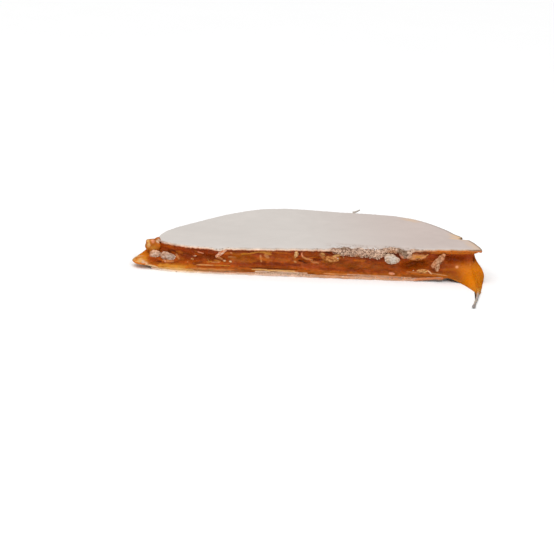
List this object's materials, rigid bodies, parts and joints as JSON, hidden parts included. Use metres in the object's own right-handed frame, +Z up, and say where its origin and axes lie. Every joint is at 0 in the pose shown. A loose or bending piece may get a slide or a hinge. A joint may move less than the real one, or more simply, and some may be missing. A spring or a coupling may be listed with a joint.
{
  "type": "caramel cream wafer",
  "caption": "Half of a round wafer sandwich: two thin white wafers with a thick caramel layer that sags at one corner.",
  "frame": {"origin": "middle of the whole's box in plan, on the surface it lies on", "axes": "+X along the cut face to its sagging end, +Y from the cut face to the round rim, +Z up from the lower wafer"},
  "size_m": [0.0956, 0.0598, 0.0097],
  "materials": {
    "wafer": "dry, chalky and matt",
    "caramel": "sticky, glossy and slightly see-through"
  },
  "bodies": {
    "root": {"bottom_wafer": "wafer", "caramel_filling": "caramel", "top_wafer": "wafer"}
  },
  "joints": []
}
